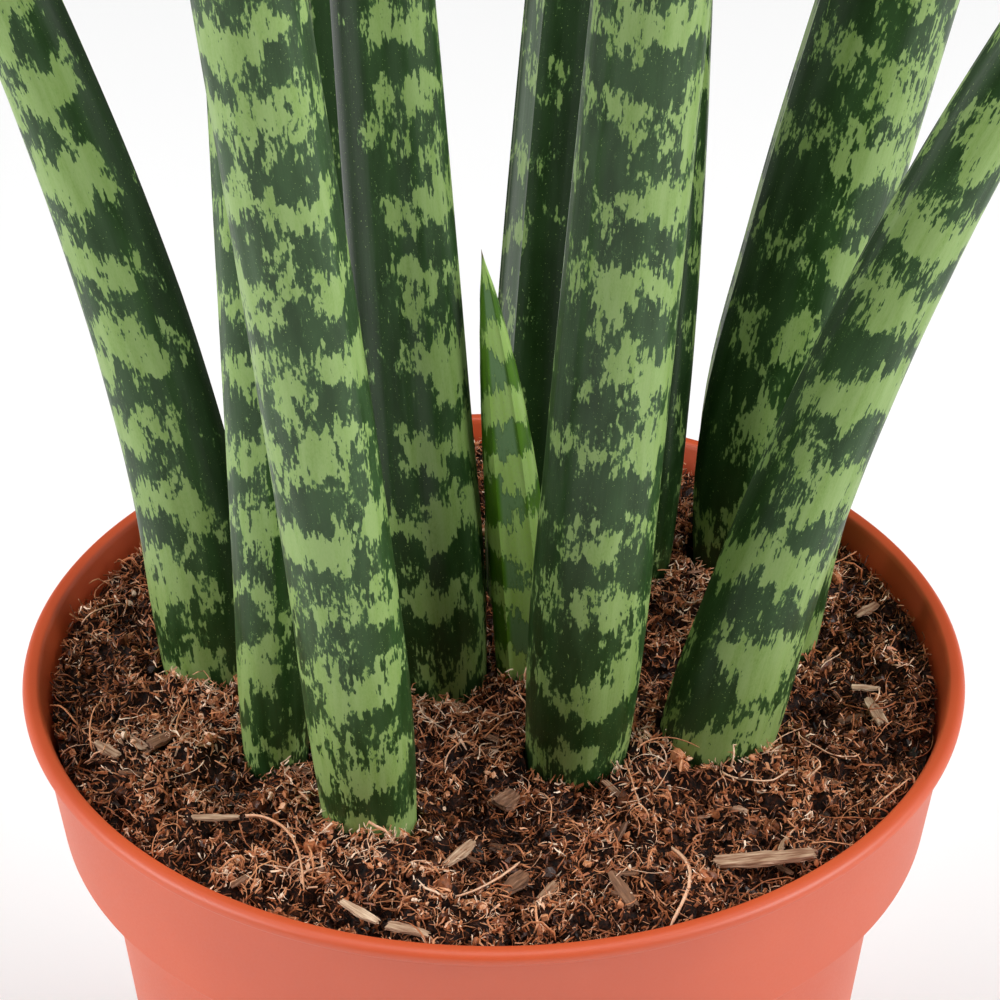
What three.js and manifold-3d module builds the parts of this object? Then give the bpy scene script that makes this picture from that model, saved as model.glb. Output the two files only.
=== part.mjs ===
// A potted mikado snake plant: twelve cylindrical leaves in a plastic nursery pot filled with soil.
// Millimetres, +Z up. The origin is the middle of the pot's underside, on the surface it stands on.
// +X is to the right and -Y is the front of the plant.

import * as THREE from 'three';
import { mergeVertices } from 'three/addons/utils/BufferGeometryUtils.js';
import Module from 'manifold-3d';

const wasm = await Module();
wasm.setup();

// Pot: a 12 cm nursery pot
const POT_HEIGHT = 105;
const RIM_RADIUS = 60;
const LIP_WIDTH = 2;
const LIP_HEIGHT = 2;
const COLLAR_HEIGHT = 20;
const COLLAR_TOP_RADIUS = 58.4;
const COLLAR_FOOT_RADIUS = 56;
const BODY_TOP_RADIUS = 51.4;
const BODY_FOOT_RADIUS = 41.6;
const WALL = 1.3;
const EDGE = 0.8;
const POT_SIDES = 64;
const HOLE_SIDES = 14;

// Pot floor: a foot ring and a middle pad on the ground, with a raised drain gutter between them
const FOOT_RING_INNER = 34;
const PAD_RADIUS = 14;
const GUTTER_HEIGHT = 2.6;
const GUTTER_SLOPE = 1.5;
const DRAIN_HOLES = 8;
const DRAIN_DIAMETER = 7;
const NOTCHES = 6;
const NOTCH_WIDTH = 8;

// Clearance between pieces that touch
const FIT = 0.3;

// Soil: its height at the pot's wall, the rise of its middle, and its crumbs and bark chips
const SOIL_LEVEL = 101.8;
const SOIL_RISE = 1.2;
const SOIL_RINGS = 14;
const SOIL_SIDES = 54;
const CRUMBS = 42;
const CRUMB_RADIUS = [1.1, 2.1];
const CHIPS = 21;
const CHIP_LENGTH = [4, 9];
const CHIP_WIDTH = [1.4, 2.4];
const CHIP_THICKNESS = 1;
const CHIP_TILT = 14;
const GRAIN_MARGIN = 4;
const SPIRAL_STEP = 137.5;
const SOIL_SEED = 7;

// Lumps: waves over the soil, each with its run along X and Y, its phase and its height
const LUMP_WAVES = [
  { x: 0.61, y: 0.17, phase: 0, height: 0.4 },
  { x: -0.22, y: 0.57, phase: 2, height: 0.4 },
  { x: 1.07, y: -0.83, phase: 1, height: 0.25 },
  { x: 0.8, y: 1.1, phase: 4, height: 0.2 },
];

// Leaves: every leaf is sunk into the soil by the same depth, and narrows on its way down
const SUNK = 15;
const ROOT_END = 0.8;
const COLLAR_PLANE = 102.5;
const LEAF_SIDES = 18;
const LEAF_RINGS = 17;
const CHANNEL_DEPTH = 0.2;
const CHANNEL_AT_TIP = 0.5;
const CHANNEL_SPREAD = 30;

// One row a leaf. at: where its middle leaves the soil. width: its diameter there. length: from the
// soil to the tip. lean and spread: degrees from upright, to the right and to the back, at the soil
// and at the tip. knee: how far up the bend between the two lies. fullness: how long the leaf keeps
// its width, 1 for a plain cone. channel: the compass side that its groove faces, 0 for +X, 90 for +Y.
const LEAVES = [
  { name: 'leaf_far_left', at: [-35.5, 5], width: 14.8, length: 260,
    lean: [-2.7, 3], spread: [-30, 5], knee: 85, fullness: 1.35, channel: 15 },
  { name: 'leaf_slim_left', at: [-27, -16.5], width: 8.6, length: 250,
    lean: [-0.2, 0], spread: [-1.8, 1], knee: 70, fullness: 2, channel: 60 },
  { name: 'leaf_front_left', at: [-15, -29], width: 12.7, length: 360,
    lean: [-2.5, -5], spread: [-7, -8], knee: 70, fullness: 2.6, channel: 80 },
  { name: 'leaf_middle_left', at: [-7.8, 1], width: 14.6, length: 340,
    lean: [-3.5, 3], spread: [-3.4, 6], knee: 70, fullness: 1.5, channel: 162 },
  { name: 'leaf_back_left', at: [-15, 23], width: 11, length: 290,
    lean: [-2, 6], spread: [-6, 10], knee: 70, fullness: 2, channel: 270 },
  { name: 'leaf_young', at: [4.2, 1], width: 7.8, length: 62,
    lean: [-3, 0], spread: [-7.5, 0], knee: 31, fullness: 2.7, channel: 270 },
  { name: 'leaf_back_middle', at: [4.2, 21], width: 12.6, length: 330,
    lean: [1.5, 6], spread: [6.5, 10], knee: 70, fullness: 2, channel: 200 },
  { name: 'leaf_front_right', at: [10.5, -16.4], width: 14.2, length: 380,
    lean: [3.2, -3], spread: [4.2, -4], knee: 70, fullness: 2, channel: 40 },
  { name: 'leaf_slim_back', at: [17.5, 24.9], width: 11.5, length: 150,
    lean: [6.6, 7], spread: [2, 10], knee: 45, fullness: 1.9, channel: 225 },
  { name: 'leaf_thick_right', at: [33.4, 29.5], width: 19.6, length: 400,
    lean: [-1.3, 6], spread: [19.7, 12], knee: 49, fullness: 1.85, channel: 172 },
  { name: 'leaf_right', at: [27.2, -12.8], width: 15.6, length: 260,
    lean: [12.5, 5], spread: [46, 10], knee: 115, fullness: 1, channel: 165 },
  { name: 'leaf_low_right', at: [35.9, 8], width: 11.6, length: 220,
    lean: [6.8, 4], spread: [37, 9], knee: 72, fullness: 1.1, channel: 180 },
];

// Materials
const potPlastic = new THREE.MeshStandardMaterial({ color: 0xdc7050, roughness: 0.4, metalness: 0 });
const leafSkin = new THREE.MeshStandardMaterial({ color: 0x4f7f42, roughness: 0.35, metalness: 0 });
const pottingSoil = new THREE.MeshStandardMaterial({ color: 0x44281c, roughness: 0.95, metalness: 0 });

const degrees = THREE.MathUtils.degToRad;
const mix = THREE.MathUtils.lerp;

// A repeatable run of numbers from 0 to 1
function seededRandom(seed) {
  const factor = 16807;
  const modulus = 2147483647;
  let state = seed;
  return () => {
    state = (state * factor) % modulus;
    return state / modulus;
  };
}

// The solid inside a closed geometry
function solid(geometry) {
  const bare = geometry.clone();
  bare.deleteAttribute('normal');
  bare.deleteAttribute('uv');
  const merged = mergeVertices(bare, 1e-4);
  const corners = merged.index.array;
  const kept = [];
  for (let i = 0; i < corners.length; i += 3) {
    const [a, b, c] = [corners[i], corners[i + 1], corners[i + 2]];
    if (a !== b && b !== c && c !== a) kept.push(a, b, c);
  }
  return new wasm.Manifold(new wasm.Mesh({
    numProp: 3,
    vertProperties: new Float32Array(merged.attributes.position.array),
    triVerts: new Uint32Array(kept),
  }));
}

// A named mesh of a solid
function piece(name, body, material) {
  const { vertProperties, triVerts } = body.getMesh();
  const geometry = new THREE.BufferGeometry();
  geometry.setAttribute('position', new THREE.BufferAttribute(vertProperties, 3));
  geometry.setIndex(new THREE.BufferAttribute(triVerts, 1));
  geometry.computeVertexNormals();
  const mesh = new THREE.Mesh(geometry, material);
  mesh.name = name;
  return mesh;
}

// A profile of [radius, height] points turned round the vertical axis
function turned(profile, sides) {
  const points = profile.map(([radius, height]) => new THREE.Vector2(radius, height));
  return new THREE.LatheGeometry(points, sides).rotateX(Math.PI / 2);
}

function upright(radius, low, high, sides) {
  const height = high - low;
  return new THREE.CylinderGeometry(radius, radius, height, sides)
    .rotateX(Math.PI / 2)
    .translate(0, 0, (low + high) / 2);
}

// The pot's outer and inner radius at a height on its tapered body
function bodyRadius(height) {
  return mix(BODY_FOOT_RADIUS, BODY_TOP_RADIUS, height / (POT_HEIGHT - COLLAR_HEIGHT));
}

function potShell() {
  const collarFoot = POT_HEIGHT - COLLAR_HEIGHT;
  const lipFoot = POT_HEIGHT - LIP_HEIGHT;
  const gutterTop = GUTTER_HEIGHT + WALL;
  const outside = [
    [0, 0],
    [PAD_RADIUS, 0],
    [PAD_RADIUS + GUTTER_SLOPE, GUTTER_HEIGHT],
    [FOOT_RING_INNER - GUTTER_SLOPE, GUTTER_HEIGHT],
    [FOOT_RING_INNER, 0],
    [BODY_FOOT_RADIUS - EDGE, 0],
    [bodyRadius(EDGE), EDGE],
    [BODY_TOP_RADIUS, collarFoot],
    [COLLAR_FOOT_RADIUS - EDGE, collarFoot],
    [COLLAR_FOOT_RADIUS, collarFoot + EDGE],
    [COLLAR_TOP_RADIUS, lipFoot],
    [RIM_RADIUS - EDGE / 2, lipFoot],
    [RIM_RADIUS, lipFoot + EDGE / 2],
    [RIM_RADIUS, POT_HEIGHT - EDGE],
    [RIM_RADIUS - EDGE / 2, POT_HEIGHT],
  ];
  const inside = [
    [RIM_RADIUS - LIP_WIDTH, POT_HEIGHT],
    [RIM_RADIUS - LIP_WIDTH - EDGE / 2, POT_HEIGHT - EDGE],
    [COLLAR_FOOT_RADIUS - WALL, collarFoot + WALL + EDGE],
    [BODY_TOP_RADIUS - WALL, collarFoot + EDGE],
    [bodyRadius(gutterTop) - WALL, gutterTop],
    [bodyRadius(WALL) - WALL - EDGE, WALL],
    [FOOT_RING_INNER + WALL, WALL],
    [FOOT_RING_INNER - GUTTER_SLOPE + WALL / 2, gutterTop],
    [PAD_RADIUS + GUTTER_SLOPE - WALL / 2, gutterTop],
    [PAD_RADIUS - WALL, WALL],
    [0, WALL],
  ];
  let pot = solid(turned([...outside, ...inside], POT_SIDES));

  // Each drain notch runs out under the foot ring, with a low bridge over it inside the pot
  for (let i = 0; i < NOTCHES; i += 1) {
    const turn = (i * 2 * Math.PI) / NOTCHES;
    const inner = FOOT_RING_INNER - GUTTER_SLOPE;
    const outer = BODY_FOOT_RADIUS - EDGE / 2;
    const bridge = new THREE.BoxGeometry(outer - inner, NOTCH_WIDTH + 2 * WALL, gutterTop - WALL / 2)
      .translate((outer + inner) / 2, 0, (gutterTop + WALL / 2) / 2)
      .rotateZ(turn);
    pot = pot.add(solid(bridge));
  }
  for (let i = 0; i < NOTCHES; i += 1) {
    const turn = (i * 2 * Math.PI) / NOTCHES;
    const inner = FOOT_RING_INNER - 2 * GUTTER_SLOPE;
    const outer = BODY_FOOT_RADIUS + 2 * WALL;
    const notch = new THREE.BoxGeometry(outer - inner, NOTCH_WIDTH, 2 * GUTTER_HEIGHT)
      .translate((outer + inner) / 2, 0, 0)
      .rotateZ(turn);
    pot = pot.subtract(solid(notch));
  }
  for (let i = 0; i < DRAIN_HOLES; i += 1) {
    const turn = ((i + 0.5) * 2 * Math.PI) / DRAIN_HOLES;
    const reach = (PAD_RADIUS + FOOT_RING_INNER) / 2;
    const hole = upright(DRAIN_DIAMETER / 2, 0, gutterTop + WALL, HOLE_SIDES)
      .translate(reach * Math.cos(turn), reach * Math.sin(turn), 0);
    pot = pot.subtract(solid(hole));
  }
  return pot;
}

// The direction of a lean given as degrees to the right and to the back
function leaning([right, back]) {
  return new THREE.Vector3(Math.tan(degrees(right)), Math.tan(degrees(back)), 1).normalize();
}

// The middle line of a leaf, from its buried end to its tip
function leafLine(leaf, extraDepth) {
  const start = leaning(leaf.lean);
  const end = leaning(leaf.spread);
  const collar = new THREE.Vector3(leaf.at[0], leaf.at[1], COLLAR_PLANE);
  const root = collar.clone().addScaledVector(start, -SUNK - extraDepth);
  const knee = collar.clone().addScaledVector(start, leaf.knee);
  const tip = knee.clone().addScaledVector(end, leaf.length - leaf.knee);
  const line = new THREE.CurvePath();
  line.add(new THREE.LineCurve3(root, collar));
  line.add(new THREE.QuadraticBezierCurve3(collar, knee, tip));
  return line;
}

// A leaf is a cone whose rings are laid along its middle line, full at the soil and pointed at the
// tip, with one groove down the side that faces its channel direction. grow makes it thicker all
// round, for the hole it stands in.
function leafForm(leaf, grow) {
  const line = leafLine(leaf, grow);
  const total = line.getLength();
  const buried = SUNK + grow;
  const facing = new THREE.Vector3(Math.cos(degrees(leaf.channel)), Math.sin(degrees(leaf.channel)), 0);
  const form = new THREE.ConeGeometry(1, 1, LEAF_SIDES, LEAF_RINGS);
  const places = form.attributes.position;
  const vertex = new THREE.Vector3();
  for (let i = 0; i < places.count; i += 1) {
    vertex.fromBufferAttribute(places, i);
    const up = vertex.y + 0.5;
    const inner = Math.hypot(vertex.x, vertex.z) < 1e-6;
    const angle = Math.atan2(vertex.x, vertex.z);
    const above = Math.max(0, (up * total - buried) / (total - buried));
    const below = Math.max(0, 1 - (up * total) / buried);
    const depth = CHANNEL_DEPTH * mix(1, CHANNEL_AT_TIP, above);
    const groove = depth * Math.exp(-((angle / degrees(CHANNEL_SPREAD)) ** 2));
    const taper = (1 - above ** leaf.fullness) * mix(1, ROOT_END, below);
    const radius = inner ? 0 : (leaf.width / 2) * taper * (1 - groove) + grow;
    const along = line.getTangentAt(up);
    const out = facing.clone().addScaledVector(along, -facing.dot(along)).normalize();
    const side = along.clone().cross(out);
    const middle = line.getPointAt(up);
    middle.addScaledVector(out, radius * Math.cos(angle)).addScaledVector(side, radius * Math.sin(angle));
    places.setXYZ(i, middle.x, middle.y, middle.z);
  }
  return form;
}

// How high the bare soil stands at a place: a low dome with lumps
function soilHeight(x, y) {
  const reach = Math.hypot(x, y) / (RIM_RADIUS - LIP_WIDTH);
  const lumps = LUMP_WAVES.map((wave) => wave.height * Math.sin(wave.x * x + wave.y * y + wave.phase));
  return SOIL_LEVEL + SOIL_RISE * (1 - reach ** 2) + lumps.reduce((sum, lump) => sum + lump, 0);
}

// The pot's inner wall, drawn in by the clearance
function soilEdge(height) {
  const collarFoot = POT_HEIGHT - COLLAR_HEIGHT;
  if (height <= collarFoot) return bodyRadius(height) - WALL - FIT;
  const up = (height - collarFoot) / (COLLAR_HEIGHT - LIP_HEIGHT);
  return mix(COLLAR_FOOT_RADIUS, COLLAR_TOP_RADIUS, up) - WALL - 2 * FIT;
}

function soilBed(leafForms) {
  const floor = GUTTER_HEIGHT + WALL + FIT;
  const collarFoot = POT_HEIGHT - COLLAR_HEIGHT;
  const topEdge = soilEdge(SOIL_LEVEL);
  const profile = [
    [0, floor],
    [soilEdge(floor), floor],
    [soilEdge(collarFoot), collarFoot + EDGE + 2 * FIT],
    [COLLAR_FOOT_RADIUS - WALL - FIT, collarFoot + WALL + EDGE + 2 * FIT],
    [topEdge, SOIL_LEVEL],
  ];
  for (let i = SOIL_RINGS - 1; i >= 0; i -= 1) profile.push([(topEdge * i) / SOIL_RINGS, SOIL_LEVEL]);
  const bed = turned(profile, SOIL_SIDES);
  const places = bed.attributes.position;
  for (let i = 0; i < places.count; i += 1) {
    const onTop = places.getZ(i) > SOIL_LEVEL - FIT;
    if (onTop) places.setZ(i, soilHeight(places.getX(i), places.getY(i)));
  }
  let soil = solid(bed);

  // Crumbs and bark chips lie half sunk in the surface, along a spiral that spreads them evenly
  const random = seededRandom(SOIL_SEED);
  const count = CRUMBS + CHIPS;
  const grains = [];
  for (let i = 0; i < count; i += 1) {
    const reach = (topEdge - GRAIN_MARGIN) * Math.sqrt((i + random()) / count);
    const turn = i * degrees(SPIRAL_STEP);
    const [x, y] = [reach * Math.cos(turn), reach * Math.sin(turn)];
    const isChip = i % (count / CHIPS) === 0;
    const size = random();
    const grain = isChip
      ? new THREE.BoxGeometry(mix(...CHIP_LENGTH, size), mix(...CHIP_WIDTH, random()), CHIP_THICKNESS)
      : new THREE.IcosahedronGeometry(mix(...CRUMB_RADIUS, size), 0);
    grain.rotateY(degrees(CHIP_TILT) * (2 * random() - 1));
    grain.rotateZ(random() * Math.PI);
    grain.translate(x, y, soilHeight(x, y));
    grains.push(solid(grain));
  }
  soil = soil.add(wasm.Manifold.union(grains));

  for (const form of leafForms) soil = soil.subtract(solid(form));
  return soil;
}

const plant = new THREE.Group();
plant.add(piece('pot', potShell(), potPlastic));
plant.add(piece('soil', soilBed(LEAVES.map((leaf) => leafForm(leaf, FIT))), pottingSoil));
for (const leaf of LEAVES) plant.add(piece(leaf.name, solid(leafForm(leaf, 0)), leafSkin));

export default plant;
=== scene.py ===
# %% [markdown]
# # A potted mikado snake plant
#
# Twelve cylindrical leaves stand in a 12 cm plastic nursery pot filled with coir and peat. The
# fixed frame gives every piece its place and size. This lesson makes the surfaces: the moulded
# pot, the banded leaves with their grooves, and a bed of soil with crumbs, fibres and bark chips.
# Everything is in metres, with +Z up and -Y towards the front of the plant.

# %% The fixed frame
import math
import random

import bpy
import numpy as np
from mathutils import Matrix, Vector
from mathutils.bvhtree import BVHTree


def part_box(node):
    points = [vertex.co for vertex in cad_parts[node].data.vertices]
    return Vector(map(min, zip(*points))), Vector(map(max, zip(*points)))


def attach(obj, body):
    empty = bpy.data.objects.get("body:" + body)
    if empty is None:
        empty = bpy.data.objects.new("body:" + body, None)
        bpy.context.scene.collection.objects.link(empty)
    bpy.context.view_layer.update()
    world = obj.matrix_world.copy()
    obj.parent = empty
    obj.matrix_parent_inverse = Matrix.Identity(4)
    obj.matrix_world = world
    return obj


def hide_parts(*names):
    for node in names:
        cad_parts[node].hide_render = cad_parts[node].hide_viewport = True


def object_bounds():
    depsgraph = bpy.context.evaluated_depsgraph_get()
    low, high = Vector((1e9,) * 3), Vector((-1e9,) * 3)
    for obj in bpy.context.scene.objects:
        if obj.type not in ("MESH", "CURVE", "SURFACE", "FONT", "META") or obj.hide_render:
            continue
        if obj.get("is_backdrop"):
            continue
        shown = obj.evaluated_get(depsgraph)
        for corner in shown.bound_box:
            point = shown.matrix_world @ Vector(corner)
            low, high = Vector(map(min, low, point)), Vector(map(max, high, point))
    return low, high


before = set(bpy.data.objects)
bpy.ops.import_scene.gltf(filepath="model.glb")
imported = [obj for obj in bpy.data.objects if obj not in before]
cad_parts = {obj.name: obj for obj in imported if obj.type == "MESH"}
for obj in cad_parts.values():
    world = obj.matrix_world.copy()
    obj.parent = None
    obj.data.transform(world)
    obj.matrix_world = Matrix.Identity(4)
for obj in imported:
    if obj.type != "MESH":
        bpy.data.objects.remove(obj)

cad_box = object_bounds()
MM = 0.001
SOIL_BELOW_RIM = 2.5 * MM
LEAF_NODES = sorted(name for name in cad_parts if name.startswith("leaf_"))
pot_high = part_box("pot")[1]
POT_HEIGHT = pot_high.z
RIM_RADIUS = pot_high.x
SOIL_LEVEL = POT_HEIGHT - SOIL_BELOW_RIM
print("leaves:", len(LEAF_NODES), "pot height:", round(POT_HEIGHT, 4), "rim radius:", round(RIM_RADIUS, 4))

# %% [markdown]
# ## Camera, light and floor
#
# The plant is seen from the front and from some 33 degrees above, from about half a metre. The
# camera could be aimed by a constraint. Here it is placed outright, because its place, pitch and
# lens were worked out from the ellipse of the pot's rim. A round white floor, one large light
# overhead, two at the sides and two weak ones behind give the even light of a studio table. Beyond
# the floor stands a white backdrop that lights nothing.

# %% Camera
CAMERA_PLACE = Vector((0.79 * MM, -425.1 * MM, 403.5 * MM))
CAMERA_PITCH = 32.86
CAMERA_LENS = 146.28


def deselect_all():
    if bpy.context.object and bpy.context.object.mode != "OBJECT":
        bpy.ops.object.mode_set(mode="OBJECT")
    bpy.ops.object.select_all(action="DESELECT")


def select_only(piece):
    deselect_all()
    piece.select_set(True)
    bpy.context.view_layer.objects.active = piece


def close_edit():
    """Turns every face outward and leaves edit mode."""
    bpy.ops.mesh.select_all(action="SELECT")
    bpy.ops.mesh.normals_make_consistent(inside=False)
    bpy.ops.object.mode_set(mode="OBJECT")


def select_vertices(mesh, wanted):
    """Selects in edit mode the vertices that a test of their place picks."""
    bpy.ops.mesh.select_mode(type="VERT")
    bpy.ops.mesh.select_all(action="DESELECT")
    bpy.ops.object.mode_set(mode="OBJECT")
    for vertex in mesh.vertices:
        vertex.select = wanted(vertex.co)
    bpy.ops.object.mode_set(mode="EDIT")


deselect_all()
bpy.ops.object.camera_add(location=CAMERA_PLACE, rotation=(math.radians(90 - CAMERA_PITCH), 0, 0))
camera = bpy.context.object
camera.data.lens = CAMERA_LENS
camera.data.clip_start = 0.01
bpy.context.scene.camera = camera

# %% Floor and lights
FLOOR_RADIUS = 1.3
STUDIO_SIDES = 128
WORLD_STRENGTH = 0.04
LIGHTS = [
    # name, place, side of its square, power in watts
    ("key_light", (0, 0, 1.4), 1.1, 9.5),
    ("left_light", (-1.35, -0.36, 0.8), 1, 20),
    ("right_light", (1.35, -0.42, 0.85), 1, 23),
    ("back_left_light", (-1, 0.7, 0.5), 1, 1.5),
    ("back_right_light", (1, 0.7, 0.5), 1, 1.5),
]
LIT_PLACE = Vector((0, 0, 0.1))

bpy.ops.mesh.primitive_circle_add(vertices=STUDIO_SIDES, radius=FLOOR_RADIUS, fill_type="NGON")
floor = bpy.context.object
floor.name = "floor"
floor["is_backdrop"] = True


def soft_light(name, place, size, power):
    """A square light out of the picture, turned towards the pot."""
    deselect_all()
    bpy.ops.object.light_add(type="AREA", location=place)
    light = bpy.context.object
    light.name = name
    light.data.size = size
    light.data.energy = power
    direction = LIT_PLACE - Vector(place)
    light.rotation_euler = direction.to_track_quat("-Z", "Y").to_euler()
    light.visible_camera = False


for settings in LIGHTS:
    soft_light(*settings)

bpy.context.scene.view_settings.view_transform = "Standard"
world = bpy.data.worlds.new("studio")
bpy.context.scene.world = world
world.use_nodes = True
background = world.node_tree.nodes["Background"]
background.inputs["Color"].default_value = (1, 1, 1, 1)
background.inputs["Strength"].default_value = WORLD_STRENGTH

# %% [markdown]
# ## Materials as node trees
#
# A colour pattern could be painted or wrapped as an image. Node trees are used instead: noise in
# several sizes, stretched the way that each material grows or is moulded, then sorted into colours
# by ramps. A few small helpers keep the trees short: each adds a calculation, a stretched noise, a
# ramp of colours, a blend or a relief in one line.

# %% Material helpers
def new_material(name):
    material = bpy.data.materials.new(name)
    material.use_nodes = True
    return material, material.node_tree, material.node_tree.nodes["Principled BSDF"]


def link(tree, output, target):
    tree.links.new(output, target)


def math_node(tree, operation, first, second=None, third=None):
    """One calculation with up to three values, each a number or a socket."""
    node = tree.nodes.new("ShaderNodeMath")
    node.operation = operation
    for socket, value in zip(node.inputs, (first, second, third)):
        if value is None:
            continue
        if isinstance(value, (int, float)):
            socket.default_value = value
        else:
            link(tree, value, socket)
    return node.outputs[0]


def sized_noise(tree, vector, size, detail, roughness=0.5):
    """Noise with clouds of the given size along each axis."""
    units = tree.nodes.new("ShaderNodeVectorMath")
    units.operation = "MULTIPLY"
    units.inputs[1].default_value = [1 / side for side in size]
    link(tree, vector, units.inputs[0])
    node = tree.nodes.new("ShaderNodeTexNoise")
    node.inputs["Scale"].default_value = 1
    node.inputs["Detail"].default_value = detail
    node.inputs["Roughness"].default_value = roughness
    link(tree, units.outputs[0], node.inputs["Vector"])
    return node.outputs["Fac"]


def noise(tree, vector, across, along, detail=2.0, roughness=0.5):
    """Noise with clouds of the given size across and along the growth."""
    return sized_noise(tree, vector, (across, across, along), detail, roughness)


def ramp(tree, value, stops):
    """Colours blended along a value. stops holds (place, colour) pairs."""
    node = tree.nodes.new("ShaderNodeValToRGB")
    elements = node.color_ramp.elements
    while len(elements) < len(stops):
        elements.new(0.5)
    for element, (place, colour) in zip(elements, stops):
        element.position = place
        element.color = (*colour, 1)
    link(tree, value, node.inputs["Fac"])
    return node.outputs["Color"]


def rise(tree, value, start, end, top=1.0, bottom=0.0):
    """A share that goes from bottom to top while a value goes from start to end."""
    return ramp(tree, value, [(start, (bottom,) * 3), (end, (top,) * 3)])


def blend_colours(tree, share, first, second):
    """The first colour, with a share of the second mixed in. A colour is a tuple or a socket."""
    node = tree.nodes.new("ShaderNodeMix")
    node.data_type = "RGBA"
    factor, first_colour, second_colour = node.inputs[0], node.inputs[6], node.inputs[7]
    for socket, value in ((factor, share), (first_colour, first), (second_colour, second)):
        if isinstance(value, tuple):
            socket.default_value = (*value, 1)
        else:
            link(tree, value, socket)
    return node.outputs[2]


def relief(tree, shader, height, strength, distance):
    """Lets a height shade the surface as fine relief."""
    node = tree.nodes.new("ShaderNodeBump")
    node.inputs["Strength"].default_value = strength
    node.inputs["Distance"].default_value = distance
    link(tree, height, node.inputs["Height"])
    link(tree, node.outputs["Normal"], shader.inputs["Normal"])


def coordinates(tree, attribute=None, output="Vector"):
    """Object coordinates, or a named attribute of the mesh."""
    if attribute is None:
        return tree.nodes.new("ShaderNodeTexCoord").outputs["Object"]
    node = tree.nodes.new("ShaderNodeAttribute")
    node.attribute_name = attribute
    return node.outputs[output]


# %% Floor material
FLOOR_WHITE = (0.95, 0.95, 0.95)
floor_paint, tree, shader = new_material("white_table")
shader.inputs["Base Color"].default_value = (*FLOOR_WHITE, 1)
shader.inputs["Roughness"].default_value = 0.6
floor.data.materials.append(floor_paint)

# %% White backdrop
BACKDROP_RADIUS = 9
BACKDROP_GLOW = 0.93
deselect_all()
bpy.ops.mesh.primitive_cylinder_add(
    vertices=STUDIO_SIDES, radius=BACKDROP_RADIUS, depth=3 * BACKDROP_RADIUS, end_fill_type="NOTHING")
backdrop = bpy.context.object
backdrop.name = "backdrop"
backdrop_paint, tree, shader = new_material("white_backdrop")
shader.inputs["Base Color"].default_value = (0, 0, 0, 1)
shader.inputs["Emission Color"].default_value = (1, 1, 1, 1)
shader.inputs["Emission Strength"].default_value = BACKDROP_GLOW
backdrop_paint.cycles.emission_sampling = "NONE"
backdrop.data.materials.append(backdrop_paint)
# It is only looked at, and neither lights the plant nor shades it
backdrop.visible_diffuse = False
backdrop.visible_glossy = False
backdrop.visible_transmission = False
backdrop.visible_shadow = False
backdrop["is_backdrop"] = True

# %% Pot plastic
POT_ORANGE = (0.64, 0.093, 0.024)
POT_ORANGE_DEEP = (0.59, 0.08, 0.02)
POT_CLOUDS = 30 * MM
POT_GRAIN = 0.35 * MM


def make_pot_plastic():
    """Moulded plastic: one orange, hardly clouded, with the fine grain of its mould."""
    material, tree, shader = new_material("pot_plastic")
    place = coordinates(tree)
    cloudy = noise(tree, place, POT_CLOUDS, POT_CLOUDS, 3)
    orange = ramp(tree, cloudy, [(0.35, POT_ORANGE_DEEP), (0.65, POT_ORANGE)])
    link(tree, orange, shader.inputs["Base Color"])
    fine = noise(tree, place, POT_GRAIN, POT_GRAIN, 2)
    link(tree, math_node(tree, "MULTIPLY_ADD", fine, 0.12, 0.4), shader.inputs["Roughness"])
    relief(tree, shader, fine, 0.12, 0.03 * MM)
    shader.inputs["Specular IOR Level"].default_value = 0.7
    shader.inputs["Subsurface Weight"].default_value = 0.08
    shader.inputs["Subsurface Radius"].default_value = (0.6 * MM, 0.2 * MM, 0.1 * MM)
    return material


pot_plastic = make_pot_plastic()

# %% [markdown]
# ## The pot
#
# A nursery pot is one thin moulded shell: a flat lip, a straight collar, a small step and a
# tapered body on a foot ring. It could be spun from a drawn profile. Here it is grown like a
# potter's pot instead: a disc on the table is pulled out and up ring by ring, over the lip and
# down the inside, so the walls keep their thickness and the shell closes by itself. Its edges are
# rounded, and then the drain holes and notches are cut.

# %% Pot profile
WALL = 1.3 * MM
LIP_WIDTH = 2 * MM
LIP_HEIGHT = 2 * MM
COLLAR_FOOT = POT_HEIGHT - 20 * MM
COLLAR_TOP_RADIUS = 58.4 * MM
COLLAR_FOOT_RADIUS = 56 * MM
BODY_TOP_RADIUS = 51.4 * MM
BODY_FOOT_RADIUS = 41.6 * MM
EDGE = 0.8 * MM
FOOT_RING_INNER = 34 * MM
PAD_RADIUS = 14 * MM
GUTTER_HEIGHT = 2.6 * MM
GUTTER_SLOPE = 1.5 * MM
GUTTER_TOP = GUTTER_HEIGHT + WALL
LIP_FOOT = POT_HEIGHT - LIP_HEIGHT


def body_radius(height):
    share = height / COLLAR_FOOT
    return BODY_FOOT_RADIUS + (BODY_TOP_RADIUS - BODY_FOOT_RADIUS) * share


def arc(middle_radius, middle_height, radius, start, end, steps):
    """Points on a round stretch of the profile, from one angle to another in degrees."""
    angles = [math.radians(start + (end - start) * i / steps) for i in range(steps + 1)]
    return [(middle_radius + radius * math.cos(a), middle_height + radius * math.sin(a)) for a in angles]


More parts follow.
